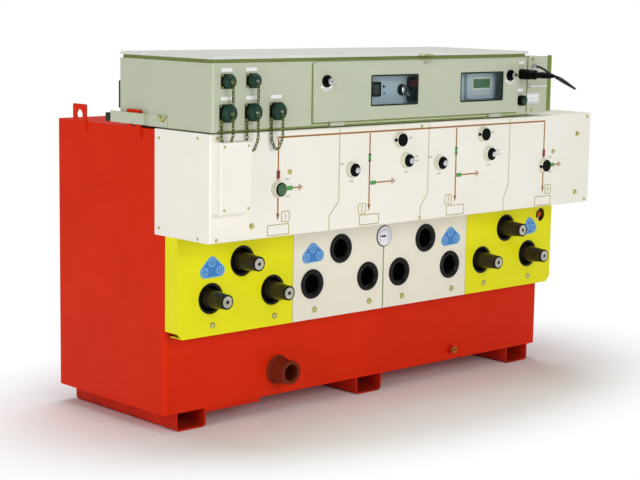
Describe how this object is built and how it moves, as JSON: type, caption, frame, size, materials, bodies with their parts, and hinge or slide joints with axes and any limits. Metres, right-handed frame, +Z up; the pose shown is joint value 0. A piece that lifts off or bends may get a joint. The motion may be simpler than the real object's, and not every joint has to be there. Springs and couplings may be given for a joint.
{
  "type": "gas insulated breaker",
  "caption": "Pad-mounted gas insulated breaker: red gas tank on channels, bushings behind yellow and cream covers, cream mechanism cover, and a control box with lid and windowed door",
  "frame": {"origin": "on the floor under the middle of the tank, which is the underside of the middle base channel", "axes": "+X to the right of someone facing the front, -Y out of the front, +Z up"},
  "size_m": [1.617, 0.9148, 1.0625],
  "materials": {
    "tank_paint": "satin",
    "cream_paint": "satin",
    "pipe_primer": "satin",
    "yellow_paint": "satin",
    "box_paint": "satin",
    "bushing_resin": "gloss",
    "black_rubber": "matte",
    "bright_metal": "machined",
    "zinc_steel": "plated",
    "dark_plastic": "matte",
    "dial_white": "gloss",
    "clear_glass": "clear",
    "brass": "machined",
    "panel_paint": "satin"
  },
  "bodies": {
    "root": {"tank_body": "tank_paint", "skid_left": "tank_paint", "skid_middle": "tank_paint", "skid_right": "tank_paint", "front_tie": "tank_paint", "lugs_left": "tank_paint", "lugs_right": "tank_paint", "bushing_cover_1": "yellow_paint", "bushing_cover_2": "cream_paint", "bushing_cover_3": "cream_paint", "bushing_cover_4": "yellow_paint", "bushings_bay_1": "bushing_resin", "bushings_bay_4": "bushing_resin", "contacts_bay_1": "bright_metal", "contacts_bay_4": "bright_metal", "wells_bay_2": "black_rubber", "wells_bay_3": "black_rubber", "gauge_body": "zinc_steel", "gauge_dial": "dial_white", "filling_valve": "brass", "pipe_stub": "pipe_primer", "drain_stub": "brass", "mechanism_cover": "cream_paint", "raised_cover": "cream_paint", "shaft_collars": "cream_paint", "shaft_discs": "dark_plastic", "shaft_ends": "bright_metal", "mounting_pads": "black_rubber", "control_box": "box_paint", "box_front": "box_paint", "box_rim": "box_paint", "lid_gasket": "black_rubber", "instrument_panel": "panel_paint", "instruments": "dark_plastic", "connector_flanges": "box_paint", "connector_caps": "dark_plastic", "side_sockets": "dark_plastic", "battery_module": "box_paint", "battery_handle": "box_paint", "cable_gland": "bright_metal", "cable": "black_rubber", "plug": "dark_plastic", "standoff_bracket": "box_paint", "buffer_block": "black_rubber", "door_hinge_roots": "box_paint", "lid_hinge_roots": "box_paint"},
    "door": {"door_panel": "box_paint", "window_glass": "clear_glass", "door_locks": "dark_plastic", "door_staple": "zinc_steel", "door_hinge_leaves": "box_paint"},
    "lid": {"lid_plate": "box_paint", "lid_hasp": "zinc_steel", "lid_hinge_leaves": "box_paint"}
  },
  "joints": [
    {"name": "door_hinge", "type": "hinge", "parent": "root", "child": "door", "pos_m": [-0.02, -0.471, 0.868], "axis": [1, 0, 0], "range_deg": [0, 105]},
    {"name": "lid_hinge", "type": "hinge", "parent": "root", "child": "lid", "pos_m": [-0.164, -0.048, 1.049], "axis": [-1, 0, 0], "range_deg": [0, 100]}
  ]
}
